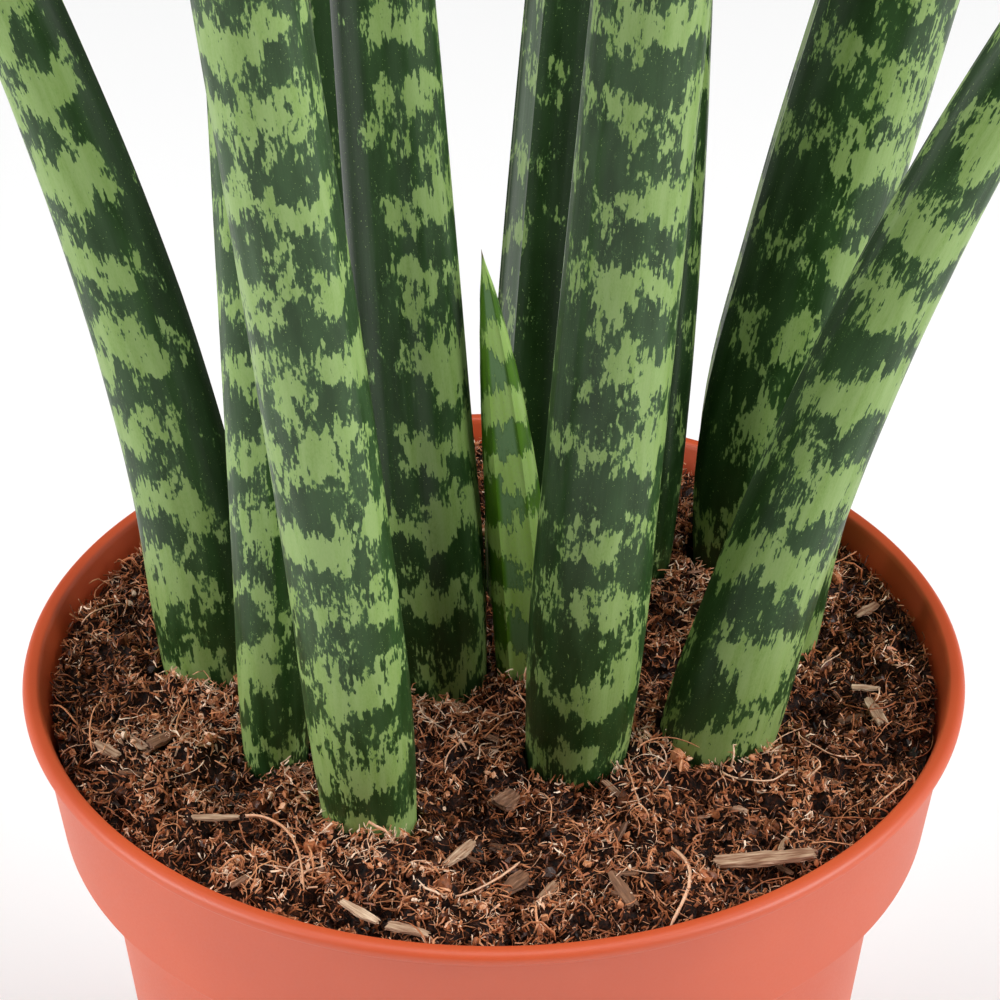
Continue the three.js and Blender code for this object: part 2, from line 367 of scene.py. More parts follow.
POT_PROFILE = [
    (PAD_RADIUS + GUTTER_SLOPE, GUTTER_HEIGHT),
    (FOOT_RING_INNER - GUTTER_SLOPE, GUTTER_HEIGHT),
    (FOOT_RING_INNER, 0),
    *arc(BODY_FOOT_RADIUS - EDGE, EDGE, EDGE, -90, -5, 4),
    (BODY_TOP_RADIUS, COLLAR_FOOT),
    *arc(COLLAR_FOOT_RADIUS - EDGE, COLLAR_FOOT + EDGE, EDGE, -90, 0, 4),
    (COLLAR_TOP_RADIUS, LIP_FOOT),
    *arc(RIM_RADIUS - LIP_HEIGHT / 2, LIP_FOOT + LIP_HEIGHT / 2, LIP_HEIGHT / 2, -80, 90, 8),
    (RIM_RADIUS - LIP_WIDTH, POT_HEIGHT),
    (RIM_RADIUS - LIP_WIDTH - EDGE / 2, POT_HEIGHT - EDGE),
    (COLLAR_FOOT_RADIUS - WALL, COLLAR_FOOT + WALL + EDGE),
    (BODY_TOP_RADIUS - WALL, COLLAR_FOOT + EDGE),
    (body_radius(GUTTER_TOP) - WALL, GUTTER_TOP),
    (body_radius(WALL) - WALL - EDGE, WALL),
    (FOOT_RING_INNER + WALL, WALL),
    (FOOT_RING_INNER - GUTTER_SLOPE + WALL / 2, GUTTER_TOP),
    (PAD_RADIUS + GUTTER_SLOPE - WALL / 2, GUTTER_TOP),
    (PAD_RADIUS - WALL, WALL),
]

# %% Growing the shell
POT_SIDES = 288


def ring_up(from_ring, to_ring):
    """Pulls the selected ring or disc out to the next radius and height of a round profile."""
    (radius, height), (next_radius, next_height) = from_ring, to_ring
    bpy.ops.mesh.extrude_region_move(TRANSFORM_OT_translate={"value": (0, 0, next_height - height)})
    scale = next_radius / radius
    bpy.ops.transform.resize(value=(scale, scale, 1), center_override=(0, 0, next_height))


def closed_round(name, start, profile, sides):
    """A closed shell of revolution, pulled from a disc through every ring of the profile."""
    deselect_all()
    bpy.ops.mesh.primitive_circle_add(vertices=sides, radius=start[0], fill_type="NGON")
    shell = bpy.context.object
    shell.name = name
    bpy.ops.object.mode_set(mode="EDIT")
    bpy.ops.transform.translate(value=(0, 0, start[1]))
    rings = [start, *profile]
    for ring, following in zip(rings, rings[1:]):
        ring_up(ring, following)
    close_edit()
    return shell


pot = closed_round("nursery_pot", (PAD_RADIUS, 0), POT_PROFILE, POT_SIDES)
print("pot shell:", len(pot.data.polygons), "faces")

# %% Rounded edges
MOULD_ROUNDING = 0.25 * MM
ROUNDED_ABOVE = math.radians(40)


def apply_modifier(piece, kind, **settings):
    select_only(piece)
    modifier = piece.modifiers.new(kind.lower(), kind)
    for name, value in settings.items():
        setattr(modifier, name, value)
    bpy.ops.object.modifier_apply(modifier=modifier.name)


# This comes before the holes, because the short edges round them would hold the rounding back
apply_modifier(pot, "BEVEL", width=MOULD_ROUNDING, segments=2, limit_method="ANGLE",
               angle_limit=ROUNDED_ABOVE)

# %% Drain holes and notches
DRAIN_HOLES = 8
DRAIN_RADIUS = 3.5 * MM
DRAIN_SIDES = 32
NOTCHES = 6
NOTCH_WIDTH = 8 * MM


def cut(piece, tool, operation="DIFFERENCE"):
    """Takes a tool's shape out of a piece, or joins it on, and removes the tool."""
    apply_modifier(piece, "BOOLEAN", object=tool, operation=operation, solver="EXACT")
    bpy.data.objects.remove(tool)


def block(low, high, turn):
    """A box between two radii, turned round the pot's axis."""
    deselect_all()
    middle = [(a + b) / 2 for a, b in zip(low, high)]
    size = [b - a for a, b in zip(low, high)]
    bpy.ops.mesh.primitive_cube_add(size=1, location=middle, scale=size)
    bpy.ops.object.transform_apply(location=True, rotation=False, scale=True)
    tool = bpy.context.object
    tool.data.transform(Matrix.Rotation(turn, 4, "Z"))
    return tool


# Each notch is a tunnel through the foot ring, with a roof that is joined on before the cut
half_width = NOTCH_WIDTH / 2
roof_low = (FOOT_RING_INNER - GUTTER_SLOPE, -half_width - WALL, WALL / 2)
roof_high = (BODY_FOOT_RADIUS - EDGE / 2, half_width + WALL, GUTTER_TOP)
tunnel_low = (FOOT_RING_INNER - 2 * GUTTER_SLOPE, -half_width, -GUTTER_HEIGHT)
tunnel_high = (BODY_FOOT_RADIUS + 2 * WALL, half_width, GUTTER_HEIGHT)
for low, high, operation in ((roof_low, roof_high, "UNION"), (tunnel_low, tunnel_high, "DIFFERENCE")):
    for i in range(NOTCHES):
        cut(pot, block(low, high, i * math.tau / NOTCHES), operation)
reach = (PAD_RADIUS + FOOT_RING_INNER) / 2
for i in range(DRAIN_HOLES):
    turn = (i + 0.5) * math.tau / DRAIN_HOLES
    deselect_all()
    bpy.ops.mesh.primitive_cylinder_add(
        vertices=DRAIN_SIDES, radius=DRAIN_RADIUS, depth=2 * (GUTTER_TOP + WALL),
        location=(reach * math.cos(turn), reach * math.sin(turn), 0))
    cut(pot, bpy.context.object)


def smooth(piece, angle=35):
    """Shades a piece round, except over edges sharper than an angle in degrees."""
    select_only(piece)
    bpy.ops.object.shade_smooth_by_angle(angle=math.radians(angle))


smooth(pot)
pot.data.materials.append(pot_plastic)
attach(pot, "root")
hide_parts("pot")
print("pot:", len(pot.data.polygons), "faces after its holes and edges")

# %% [markdown]
# ## Reading the leaves from the frame
#
# Every leaf of the frame is a bent, tapered rod. Level cuts through its mesh give the middle and
# the thickness of the leaf at each height, and the dent in the cut shows which side its groove
# faces. So the finished leaves follow the frame, however it changes.

# %% Measuring a leaf
LEVELS = 14
FIRST_LEVEL = 3 * MM
# How much of its circle the dented section of a leaf fills
SECTION_SHARE = 0.924


def cut_level(node, height):
    """The points where a level plane crosses the edges of a node's mesh."""
    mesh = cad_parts[node].data
    places = np.array([vertex.co for vertex in mesh.vertices])
    ends = places[np.array([edge.vertices for edge in mesh.edges])]
    crossed = (ends[:, 0, 2] < height) != (ends[:, 1, 2] < height)
    first, second = ends[crossed, 0], ends[crossed, 1]
    share = (height - first[:, 2]) / (second[:, 2] - first[:, 2])
    return first + (second - first) * share[:, None]


def section(node, height):
    """Middle, area and groove direction of a leaf's level cut."""
    points = cut_level(node, height)[:, :2]
    rough_middle = points.mean(0)
    around = points - rough_middle
    around = around[np.argsort(np.arctan2(around[:, 1], around[:, 0]))]
    x, y = around.T
    x_next, y_next = np.roll(around, -1, axis=0).T
    cross = x * y_next - x_next * y
    area = cross.sum() / 2
    offset = np.array([((x + x_next) * cross).sum(), ((y + y_next) * cross).sum()]) / (6 * area)
    middle = rough_middle + offset
    reach = points - middle
    dent = reach[np.argmin(np.hypot(*reach.T))]
    return Vector((*middle, height)), area, math.atan2(dent[1], dent[0])


def measure_leaf(node):
    """Middle line, radii and groove direction of a leaf, from its buried end to its tip."""
    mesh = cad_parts[node].data
    tip = max((vertex.co for vertex in mesh.vertices), key=lambda co: co.z).copy()
    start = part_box(node)[0].z + FIRST_LEVEL
    heights = [start + (tip.z - start) * (i / LEVELS) for i in range(LEVELS)]
    cuts = [section(node, height) for height in heights]
    line = [middle for middle, area, dent in cuts] + [tip]
    radii = []
    for i, (middle, area, dent) in enumerate(cuts):
        along = (line[i + 1] - line[max(i - 1, 0)]).normalized()
        radii.append(math.sqrt(area * along.z / (SECTION_SHARE * math.pi)))
    groove = cuts[LEVELS // 3][2]
    return line, [*radii, 0], groove


leaf_lines = {node: measure_leaf(node) for node in LEAF_NODES}
for node, (line, radii, groove) in leaf_lines.items():
    print(node, round(2 * max(radii) / MM, 1), "mm thick, groove towards", round(math.degrees(groove)))

# %% [markdown]
# ## One blade, bent twelve ways
#
# A mikado leaf is a cylinder with one shallow groove from base to tip and a few faint creases. A
# curve with a bevel could carry that section too, but its tip and its texture coordinates are hard
# to keep. So one straight blade is modelled: a round section, dented with proportional editing, is
# pulled up in many short steps. Each leaf is a copy, scaled to its own thickness and length, which
# remembers its straight shape for the markings before a curve bends and tapers it.

# %% The straight blade
BLADE_SIDES = 56
BLADE_RINGS = 100
DENTS = [
    # degrees round the leaf, depth and reach in radii, how the dent fades. The groove comes first
    (0, 0.19, 0.52, "SPHERE"),
    (96, 0.022, 0.28, "SMOOTH"),
    (148, 0.03, 0.35, "SHARP"),
    (206, 0.022, 0.3, "SMOOTH"),
    (258, 0.03, 0.3, "SHARP"),
]


def make_blade():
    """A straight blade with a radius of one and a length of one."""
    deselect_all()
    bpy.ops.mesh.primitive_circle_add(vertices=BLADE_SIDES, radius=1, fill_type="NGON")
    blade = bpy.context.object
    bpy.ops.object.mode_set(mode="EDIT")
    for turn, depth, reach, falloff in DENTS:
        outward = Vector((math.cos(math.radians(turn)), math.sin(math.radians(turn)), 0))
        places = [vertex.co.copy() for vertex in blade.data.vertices]
        nearest = min(places, key=lambda co: (co - outward).length)
        select_vertices(blade.data, lambda co: (co - nearest).length < 1e-6)
        bpy.ops.transform.translate(
            value=-depth * outward, use_proportional_edit=True,
            proportional_edit_falloff=falloff, proportional_size=reach)
    bpy.ops.mesh.select_all(action="SELECT")
    for ring in range(BLADE_RINGS):
        bpy.ops.mesh.extrude_region_move(TRANSFORM_OT_translate={"value": (0, 0, 1 / BLADE_RINGS)})
    close_edit()
    return blade


blade = make_blade()
print("blade:", len(blade.data.vertices), "points")

# %% Bending a blade along a leaf's middle line
def middle_curve(line, radii):
    """A smooth curve through a leaf's middle line, with the leaf's thickness at each point."""
    deselect_all()
    bpy.ops.curve.primitive_bezier_curve_add()
    curve = bpy.context.object
    spline = curve.data.splines[0]
    spline.bezier_points.add(len(line) - 2)
    for point, place, radius in zip(spline.bezier_points, line, radii):
        point.co = place
        point.radius = radius / max(radii)
        point.handle_left_type = point.handle_right_type = "AUTO"
    spline.radius_interpolation = "CARDINAL"
    spline.resolution_u = 12
    curve.data.dimensions = "3D"
    curve.data.twist_mode = "MINIMUM"
    return curve


def store_vector(piece, name, values):
    """Gives every point of a piece a named vector, for the node trees to read."""
    attribute = piece.data.attributes.new(name, "FLOAT_VECTOR", "POINT")
    attribute.data.foreach_set("vector", np.asarray(values, dtype=np.float32).ravel())


def places_of(piece):
    places = np.empty(len(piece.data.vertices) * 3, dtype=np.float32)
    piece.data.vertices.foreach_get("co", places)
    return places.reshape(-1, 3).astype(float)


def straight_of(leaf):
    straight = np.empty(len(leaf.data.vertices) * 3, dtype=np.float32)
    leaf.data.attributes["straight"].data.foreach_get("vector", straight)
    return straight.reshape(-1, 3)


def bent_copy(name, line, radii, turn):
    """A copy of the blade, turned by an angle and bent and tapered along a middle line."""
    leaf = blade.copy()
    leaf.data = blade.data.copy()
    leaf.name = name
    bpy.context.collection.objects.link(leaf)
    length = sum((b - a).length for a, b in zip(line, line[1:]))
    leaf.data.transform(Matrix.Diagonal((max(radii), max(radii), length, 1)))
    store_vector(leaf, "straight", places_of(leaf))
    leaf.data.transform(Matrix.Rotation(turn, 4, "Z"))
    curve = middle_curve(line, radii)
    leaf.modifiers.new("bend", "CURVE")
    curve.data.use_stretch = curve.data.use_deform_bounds = True
    select_only(leaf)
    leaf.modifiers["bend"].object = curve
    leaf.modifiers["bend"].deform_axis = "POS_Z"
    bpy.ops.object.modifier_apply(modifier="bend")
    bpy.data.objects.remove(curve)
    return leaf


def groove_direction(leaf, line):
    """Where the leaf's groove faces at a third of its height."""
    straight = straight_of(leaf)
    along = straight[:, 2] / straight[:, 2].max()
    ring = abs(along - np.round(BLADE_RINGS / 3) / BLADE_RINGS) < 0.3 / BLADE_RINGS
    places = places_of(leaf)[ring]
    floor_of_groove = np.argmax(np.where(abs(straight[ring, 1]) < 0.1 * MM, straight[ring, 0], -1))
    reach = places[floor_of_groove] - places.mean(0)
    return math.atan2(reach[1], reach[0])


# %% The twelve leaves
# Each leaf takes its markings from its own stretch of the noise, this many metres apart
SKIN_STEP = 0.7
TIP_MERGE = 0.01 * MM
LEAF_LOOKS = {
    # node: height of one light band above the soil and spacing of the bands in mm, how much is
    # pale (lowest on the leaves at the back, as painted shade), the side with painted shade in
    # degrees, and how deep that painted shade is
    "leaf_far_left": (1.5, 11.5, 0.3, 355, 2.4),
    "leaf_slim_left": (3.0, 10.5, 0.15, 350, 1.5),
    "leaf_front_left": (2.0, 11.5, 0.25, 20, 1.0),
    "leaf_middle_left": (2.5, 11.0, 0.2, 198, 2.8),
    "leaf_back_left": (5.0, 11.0, 0.0, 270, 1.0),
    "leaf_young": (4.0, 9.0, 0.4, 180, 0.8),
    "leaf_back_middle": (6.0, 11.0, -0.5, 290, 1.0),
    "leaf_front_right": (3.5, 11.5, 0.15, 190, 0.9),
    "leaf_slim_back": (2.0, 11.0, -0.5, 270, 0.8),
    "leaf_thick_right": (7.0, 13.0, 0.45, 218, 1.2),
    "leaf_right": (3.0, 12.0, 0.35, 185, 1.2),
    "leaf_low_right": (4.0, 10.5, 0.0, 200, 1.0),
}


def grow_leaf(number, node):
    """One finished leaf on its middle line, with what its skin needs to know at every point."""
    line, radii, groove = leaf_lines[node]
    trial = bent_copy("trial", line, radii, 0)
    turn = groove - groove_direction(trial, line)
    bpy.data.objects.remove(trial)
    leaf = bent_copy(node.replace("leaf_", "") + "_blade", line, radii, turn)
    select_only(leaf)
    bpy.ops.object.mode_set(mode="EDIT")
    bpy.ops.mesh.select_all(action="SELECT")
    bpy.ops.mesh.remove_doubles(threshold=TIP_MERGE)
    close_edit()
    off_turn = (math.degrees(groove_direction(leaf, line) - groove) + 180) % 360 - 180
    straight = straight_of(leaf)
    steps = [0.0]
    for a, b in zip(line, line[1:]):
        steps.append(steps[-1] + (b - a).length)
    buried = float(np.interp(SOIL_LEVEL, [point.z for point in line], steps))
    above_soil = straight[:, 2] - buried
    band_height, band_spacing, light_share_and_shade, painted_shade_side, painted_shade_depth = LEAF_LOOKS[node]
    towards = groove + np.arctan2(straight[:, 1], straight[:, 0]) - math.radians(painted_shade_side)
    growth = np.empty_like(straight)
    growth[:, 0] = (above_soil / MM - band_height) / band_spacing
    growth[:, 1] = above_soil / (steps[-1] - buried)
    # The third value is the pale share, less the painted shade on the leaf's shaded side
    growth[:, 2] = light_share_and_shade - painted_shade_depth * np.clip(np.cos(towards), 0, 1) ** 2
    store_vector(leaf, "growth", growth)
    straight[:, 2] = above_soil + number * SKIN_STEP
    leaf.data.attributes["straight"].data.foreach_set("vector", straight.ravel())
    smooth(leaf, 50)
    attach(leaf, "root")
    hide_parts(node)
    print(leaf.name, len(leaf.data.vertices), "points, groove off by", round(off_turn, 1), "degrees")
    return leaf


leaves = [grow_leaf(number, node) for number, node in enumerate(LEAF_NODES)]
bpy.data.objects.remove(blade)

# %% [markdown]
# ## Leaf markings
#
# The skin is dark green with pale bands. Each band is broken up along the leaf's fibres: its edges
# end in teeth, and flecks are scattered between the bands. An image could hold this, but a wave
# along the leaf, shifted by noises stretched along the fibres, gives markings of the same kind that
# never repeat and have no seam.

# %% Leaf skin
LEAF_DARK = (0.012, 0.042, 0.006)
LEAF_DARK_BLUE = (0.027, 0.072, 0.018)
# Painted shade for the dark skin
LEAF_PAINTED_SHADE = (0.003, 0.010, 0.002)
LEAF_MIDDLE = (0.075, 0.16, 0.045)
LEAF_LIGHT_YELLOW = (0.18, 0.31, 0.06)
LEAF_LIGHT = (0.255, 0.39, 0.12)
LEAF_GRAIN = (0.33, 0.45, 0.165)
# The groove's grey: partly its own bloom, partly a painted reflection
LEAF_GROOVE_BLOOM_AND_SHEEN = (0.15, 0.28, 0.12)
# The lips' pale colour: partly their own, partly a painted sheen
LEAF_LIP_AND_SHEEN = (0.36, 0.38, 0.28)
LEAF_TIP = (0.16, 0.085, 0.035)
YOUNG_DARK = (0.035, 0.115, 0.003)
YOUNG_DARK_TINT = (0.09, 0.23, 0.008)
YOUNG_LIGHT_YELLOW = (0.33, 0.56, 0.095)
YOUNG_LIGHT = (0.40, 0.63, 0.165)
# Where the groove's lips lie and how wide they are, in degrees from the groove's middle
GROOVE_LIP = 30
GROOVE_LIP_SPREAD = 0.8
# Noises that shift the bands along the leaf: size across and along the fibres in mm, and how many
# bands they shift by. The broad one tilts a band, the narrow ones cut its edges into teeth.
BAND_SHIFTS = [(7, 14, 1.3), (1.1, 4, 0.9), (0.4, 2.4, 0.7)]
# Noises that add or take away pale skin: size in mm, and amount.
PALE_SHIFTS = [(4.5, 7, 6.0), (1.3, 2.0, 2.6), (0.36, 0.8, 3.0)]


def make_leaf_skin(name, groove_bloom_and_sheen_share, lip_and_sheen_share, raggedness, dark_colours, pale_colours):
    """Dark skin with pale bands, torn along the fibres as far as its raggedness says."""
    material, tree, shader = new_material(name)
    straight = coordinates(tree, "straight")
    growth = tree.nodes.new("ShaderNodeSeparateXYZ")
    link(tree, coordinates(tree, "growth"), growth.inputs[0])
    bands, height, share = growth.outputs

    def shift(across, along, amount):
        centred = math_node(tree, "SUBTRACT", noise(tree, straight, across * MM, along * MM), 0.5)
        return math_node(tree, "MULTIPLY", centred, amount)

    # A wave along the leaf, pushed about by the noises, says how light each place is
    place = bands
    for across, along, amount in BAND_SHIFTS:
        place = math_node(tree, "ADD", place, shift(across, along, amount * raggedness))
    wave = math_node(tree, "COSINE", math_node(tree, "MULTIPLY", place, math.tau))
    # The share holds painted shade too, which takes the pale bands away on a leaf's shaded side
    light = math_node(tree, "ADD", wave, share)
    for across, along, amount in PALE_SHIFTS:
        light = math_node(tree, "ADD", light, shift(across, along, amount * raggedness))
    light = math_node(tree, "MULTIPLY_ADD", light, 0.25, 0.44)

    # Painted shade: the dark skin is deeper on a leaf's shaded side and where little of it is pale
    clouds = rise(tree, noise(tree, straight, 2.2 * MM, 9 * MM, 3), 0.35, 0.65)
    dark = blend_colours(tree, clouds, *dark_colours)
    painted_shade = math_node(tree, "MULTIPLY_ADD", share, -0.35, -0.1)
    painted_shade.node.use_clamp = True
    dark = blend_colours(tree, painted_shade, dark, LEAF_PAINTED_SHADE)

    # The groove is greyer where it is dark, partly its own bloom and partly a painted reflection, between
    # two thin papery lips
    axes = tree.nodes.new("ShaderNodeSeparateXYZ")
    link(tree, straight, axes.inputs[0])
    turn = math_node(tree, "ABSOLUTE", math_node(tree, "ARCTAN2", axes.outputs[1], axes.outputs[0]))
    turn = math_node(tree, "DIVIDE", turn, math.pi)
    groove_bloom_and_sheen = rise(tree, turn, 0.13, 0.17, 0, groove_bloom_and_sheen_share)
    dark = blend_colours(tree, groove_bloom_and_sheen, dark, LEAF_GROOVE_BLOOM_AND_SHEEN)

    # The pale bands: a greener fringe, then a core with a fine grain, and specks in between
    clouds = rise(tree, noise(tree, straight, 1.2 * MM, 9 * MM, 3), 0.3, 0.6)
    pale = blend_colours(tree, clouds, *pale_colours)
    fringe = rise(tree, light, 0.38, 0.52, 0.8)
    core = rise(tree, light, 0.49, 0.55)
    colour = blend_colours(tree, fringe, dark, LEAF_MIDDLE)
    grain = rise(tree, noise(tree, straight, 0.2 * MM, 0.5 * MM, 2, 0.7), 0.3, 0.6, 0.35)
    pale = blend_colours(tree, grain, pale, LEAF_GRAIN)
    colour = blend_colours(tree, core, colour, pale)
    specks = rise(tree, noise(tree, straight, 0.22 * MM, 0.3 * MM, 1), 0.70, 0.76, 0.7)
    colour = blend_colours(tree, specks, colour, LEAF_LIGHT)

    # The lips: a thin pale line, partly their own colour and partly a painted sheen
    lip_and_sheen = math_node(tree, "COMPARE", turn, GROOVE_LIP / 180, GROOVE_LIP_SPREAD / 180)
    colour = blend_colours(tree, math_node(tree, "MULTIPLY", lip_and_sheen, lip_and_sheen_share), colour, LEAF_LIP_AND_SHEEN)

    # The last of the tip is dry
    dry = rise(tree, height, 0.975, 0.99)
    colour = blend_colours(tree, dry, colour, LEAF_TIP)
    link(tree, colour, shader.inputs["Base Color"])

    fibres = noise(tree, straight, 0.3 * MM, 30 * MM, 2)
    link(tree, math_node(tree, "MULTIPLY_ADD", fibres, 0.25, 0.26), shader.inputs["Roughness"])
    shader.inputs["Specular IOR Level"].default_value = 0.35
    relief(tree, shader, fibres, 0.3, 0.06 * MM)
    return material


leaf_skin = make_leaf_skin(
    "leaf_skin", 0.1, 0.3, 1, (LEAF_DARK, LEAF_DARK_BLUE), (LEAF_LIGHT_YELLOW, LEAF_LIGHT))
young_skin = make_leaf_skin(
    "young_leaf_skin", 0.85, 0, 0.6, (YOUNG_DARK, YOUNG_DARK_TINT), (YOUNG_LIGHT_YELLOW, YOUNG_LIGHT))
for leaf in leaves:
    leaf.data.materials.append(young_skin if leaf.name.startswith("young") else leaf_skin)

# %% [markdown]
# ## The bed of soil
#
# Under the loose crumbs lies one bed of coir and peat that fills the pot. It could be scattered
# entirely from pieces, but then light would fall through. A solid bed is pulled up inside the pot,
# its top is gridded finely, and clouds and cells of several sizes displace it into clods and
# hollows. Holes are cut for the leaves.

# %% The bed
BED_SIDES = 64
BED_SPANS = 16
BED_CUTS = 10
BED_EDGE = 56.4 * MM
BED_FLOOR = GUTTER_TOP + 0.3 * MM
BED_LEVEL = SOIL_LEVEL - 1.6 * MM
BED_RISE = 1.4 * MM
LEVEL_SLACK = 0.1 * MM
# How much of the lumps the bed's edge takes, and how fast that grows inward
EDGE_SHARE = 0.4
SHARE_GROWTH = 12
LUMPS = [
    # kind, size, depth
    ("CLOUDS", 9 * MM, 7 * MM),
    ("VORONOI", 3.4 * MM, -2.4 * MM),
    ("CLOUDS", 2.6 * MM, 3.4 * MM),
    ("CLOUDS", 1.3 * MM, 1.8 * MM),
]
BED_PROFILE = [
    (body_radius(BED_FLOOR) - WALL - 0.4 * MM, BED_FLOOR),
    (BODY_TOP_RADIUS - WALL - 0.4 * MM, COLLAR_FOOT + 0.9 * MM),
    (COLLAR_FOOT_RADIUS - WALL - 0.5 * MM, COLLAR_FOOT + 2.6 * MM),
    (BED_EDGE, BED_LEVEL),
]


def make_bed():
    """A closed bed with a fine grid on top, highest in the middle. Its edge is displaced less."""
    bed = closed_round("soil_bed", (FOOT_RING_INNER, BED_FLOOR), BED_PROFILE, BED_SIDES)
    bpy.ops.object.mode_set(mode="EDIT")
    select_vertices(bed.data, lambda co: co.z > BED_LEVEL - LEVEL_SLACK)
    bpy.ops.mesh.select_mode(type="FACE")
    bpy.ops.mesh.delete(type="ONLY_FACE")
    bpy.ops.mesh.select_mode(type="EDGE")
    bpy.ops.mesh.select_all(action="DESELECT")
    bpy.ops.mesh.select_non_manifold()
    bpy.ops.mesh.fill_grid(span=BED_SPANS)
    bpy.ops.mesh.subdivide(number_cuts=BED_CUTS)
    close_edit()
    top = bed.vertex_groups.new(name="top")
    for vertex in bed.data.vertices:
        if vertex.co.z > BED_LEVEL - LEVEL_SLACK:
            inward = 1 - vertex.co.xy.length / BED_EDGE
            vertex.co.z += BED_RISE * (1 - (1 - inward) ** 2)
            top.add([vertex.index], min(1, EDGE_SHARE + SHARE_GROWTH * inward), "REPLACE")
    return bed


def lumps(piece, kind, size, depth):
    """Raises and lowers the top of a piece by a texture."""
    texture = bpy.data.textures.new("lumps", kind)
    texture.noise_scale = size
    apply_modifier(piece, "DISPLACE", texture=texture, texture_coords="LOCAL", direction="Z",
                   vertex_group="top", strength=depth, mid_level=0.5)
    bpy.data.textures.remove(texture)


bed = make_bed()
for settings in LUMPS:
    lumps(bed, *settings)
print("bed:", len(bed.data.polygons), "faces")

# %% Holes for the leaves
HOLE_PLAY = 0.3 * MM
HOLE_SIDES = 32
HOLE_TOP = SOIL_LEVEL + 8 * MM


def leaf_hole(line, radii):
    """A cutter round the buried end of a leaf."""
    deselect_all()
    bpy.ops.mesh.primitive_circle_add(vertices=HOLE_SIDES, radius=radii[0] + HOLE_PLAY, fill_type="NGON")
    hole = bpy.context.object
    bpy.ops.object.mode_set(mode="EDIT")
    bpy.ops.transform.translate(value=line[0] - Vector((0, 0, HOLE_PLAY)))
    for place, next_place, radius, next_radius in zip(line, line[1:], radii, radii[1:]):
        bpy.ops.mesh.extrude_region_move(TRANSFORM_OT_translate={"value": next_place - place})
        scale = (next_radius + HOLE_PLAY) / (radius + HOLE_PLAY)
        bpy.ops.transform.resize(value=(scale, scale, 1), center_override=next_place)
        if next_place.z > HOLE_TOP:
            break
    close_edit()
    return hole


for node in LEAF_NODES:
    line, radii, groove = leaf_lines[node]
    hole = leaf_hole(line, radii)
    apply_modifier(bed, "BOOLEAN", object=hole, operation="DIFFERENCE", solver="MANIFOLD")
    bpy.data.objects.remove(hole)
smooth(bed, 60)
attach(bed, "root")
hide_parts("soil")
print("bed with its holes:", len(bed.data.polygons), "faces, up to", round(places_of(bed)[:, 2].max(), 4))

# %% Soil material
SOIL_STOPS = [
    (0.0, (0.004, 0.0015, 0.001)),
    (0.25, (0.062, 0.017, 0.006)),
    (0.5, (0.44, 0.138, 0.05)),
    (0.75, (0.76, 0.34, 0.16)),
    # The palest colour is pale coir, and partly painted glints
    (1.0, (1.0, 0.76, 0.56)),
]
SOIL_GRAIN = 0.5 * MM


def make_soil_paint(name, loose):
    """Coir and peat. The bed takes its tone from its place, with painted shade; loose pieces from their
    own tone.
    """
    material, tree, shader = new_material(name)
    speckle = noise(tree, coordinates(tree), SOIL_GRAIN, SOIL_GRAIN, 3, 0.7)
    if loose:
        change = math_node(tree, "MULTIPLY_ADD", speckle, 0.4, -0.2)
        tone = math_node(tree, "ADD", coordinates(tree, "tone", "Fac"), change)
    else:
        # The bed is dark peat, painted darker still as the shade in the gaps between the loose pieces
        tone = math_node(tree, "MULTIPLY_ADD", speckle, 1.0, -0.44)
    link(tree, ramp(tree, tone, SOIL_STOPS), shader.inputs["Base Color"])
    shader.inputs["Roughness"].default_value = 0.4 if loose else 0.55
    shader.inputs["Specular IOR Level"].default_value = 0.4 if loose else 0.12
    relief(tree, shader, speckle, 0.5, 0.2 * MM)
    return material


bed_paint = make_soil_paint("soil_bed", False)
loose_paint = make_soil_paint("soil_loose", True)
bed.data.materials.clear()
bed.data.materials.append(bed_paint)

# %% [markdown]
# ## Crumbs, fibres and chips
#
# The top of the soil is what the eye reads: curled coir fibres, crumbs and clods of peat, and
# flat chips of bark. Hair or instances would be lost when the model is exported, so a handful of
# each is modelled one by one and copied as real mesh. A copy is kept only where it lies clear of the
# leaves and inside the pot.

# %% Where loose pieces may lie
generator = np.random.default_rng(5)
bed_tree = BVHTree.FromObject(bed, bpy.context.evaluated_depsgraph_get())
WALL_PLAY = 0.15 * MM
LEAF_PLAY = 0.05 * MM
LONGEST_PUSH = 1.4 * MM
PUSH_MORE = 1.05
COLLAR_STEP = 2 * MM
SEEDED_REACH = 56.3 * MM
HOLE_DEPTH = 6 * MM
DOWN = Vector((0, 0, -1))


def seeds(count):
    """Places spread evenly over the bed, each at the bed's own height."""
    found = []
    while len(found) < count:
        x, y = generator.uniform(-SEEDED_REACH, SEEDED_REACH, 2)
        if math.hypot(x, y) < SEEDED_REACH:
            place = bed_tree.ray_cast(Vector((x, y, 1)), DOWN)[0]
            if place and place.z > BED_LEVEL - HOLE_DEPTH:
                found.append(place)
    return np.array(found)


def leaf_distance(points):
    """How far outside the nearest leaf each point near the soil lies, and the way out."""
    nearest = np.full(len(points), 1.0)
    way_out = np.zeros((len(points), 2))
    for line, radii, groove in leaf_lines.values():
        across, back, heights = np.array(line).T
        middle = np.stack([np.interp(points[:, 2], heights, axis) for axis in (across, back)], 1)
        aside = points[:, :2] - middle
        reach = np.hypot(*aside.T)
        distance = reach - np.interp(points[:, 2], heights, radii)
        closer = distance < nearest
        nearest[closer] = distance[closer]
        way_out[closer] = aside[closer] / reach[closer, None]
    return nearest, way_out


